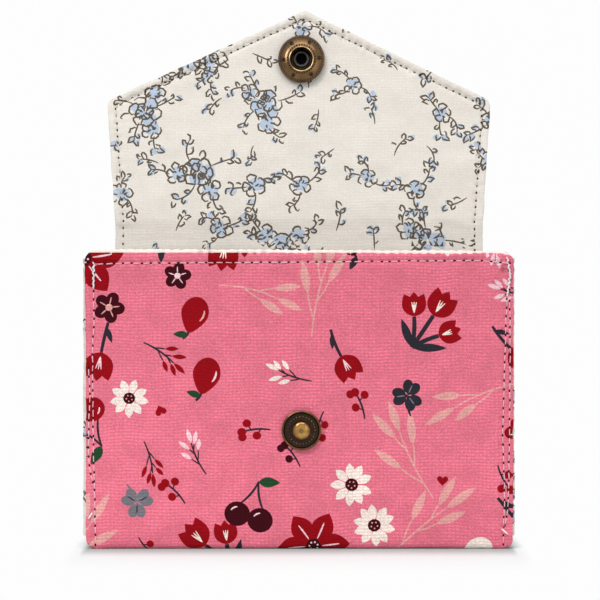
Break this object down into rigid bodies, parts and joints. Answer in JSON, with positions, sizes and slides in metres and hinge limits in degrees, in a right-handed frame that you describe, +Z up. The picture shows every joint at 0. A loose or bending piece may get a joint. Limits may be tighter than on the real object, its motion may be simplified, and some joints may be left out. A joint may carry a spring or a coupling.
{
  "type": "card wallet",
  "caption": "Sewn cloth card wallet with a pointed flap, pleated side gussets, a divider, a card pocket and a brass ring snap.",
  "frame": {"origin": "middle of the flat underside of the base", "axes": "+Z up, X across the wallet, -Y towards the front with the stud"},
  "size_m": [0.12, 0.0349, 0.1541],
  "materials": {
    "printed_cotton": "plain-weave printed cotton, matt",
    "lining_cotton": "plain-weave printed cotton, matt",
    "interlining": "fused non-woven, matt",
    "antique_brass": "antiqued, rubbed bright on the edges",
    "bright_brass": "antiqued, ball rubbed bright",
    "spring_steel": "dark drawn wire"
  },
  "bodies": {
    "back_half": {"back_cover": "printed_cotton", "back_stiffener": "interlining", "back_lining": "lining_cotton", "base_cover": "printed_cotton", "base_lining": "lining_cotton", "left_gusset": "lining_cotton", "right_gusset": "lining_cotton", "slip_pocket": "lining_cotton"},
    "front_wall": {"front_cover": "printed_cotton", "front_stiffener": "interlining", "front_lining": "lining_cotton", "snap_stud": "bright_brass", "snap_post": "antique_brass"},
    "divider": {"divider_cloth": "lining_cotton", "divider_core": "interlining"},
    "fold_strip": {"fold_cover": "printed_cotton", "fold_lining": "lining_cotton"},
    "flap": {"flap_cover": "printed_cotton", "flap_stiffener": "interlining", "flap_lining": "lining_cotton", "snap_cap": "antique_brass", "snap_socket": "antique_brass", "snap_spring": "spring_steel"}
  },
  "joints": [
    {"name": "flap_back_fold", "type": "hinge", "parent": "back_half", "child": "fold_strip", "pos_m": [0, 0.0065, 0.08342], "axis": [1, 0, 0], "range_deg": [-40, 98]},
    {"name": "flap_front_fold", "type": "hinge", "parent": "fold_strip", "child": "flap", "pos_m": [0, 0.00742, 0.08996], "axis": [1, 0, 0], "range_deg": [-34.7, 84.95]},
    {"name": "mouth_squeeze", "type": "hinge", "parent": "back_half", "child": "front_wall", "pos_m": [0, -0.00725, 0.00295], "axis": [-1, 0, 0], "range_deg": [-2.6, 6.4], "deforming": ["left_gusset", "right_gusset"]},
    {"name": "divider_tilt", "type": "hinge", "parent": "back_half", "child": "divider", "pos_m": [0, -0.00035, 0.00155], "axis": [-1, 0, 0], "range_deg": [-1.4, 3.45]}
  ],
  "couplings": [
    {"joint": "flap_front_fold", "follows": "flap_back_fold", "ratio": 0.86643},
    {"joint": "mouth_squeeze", "follows": "flap_back_fold", "ratio": 0.064888},
    {"joint": "divider_tilt", "follows": "flap_back_fold", "ratio": 0.034694}
  ]
}
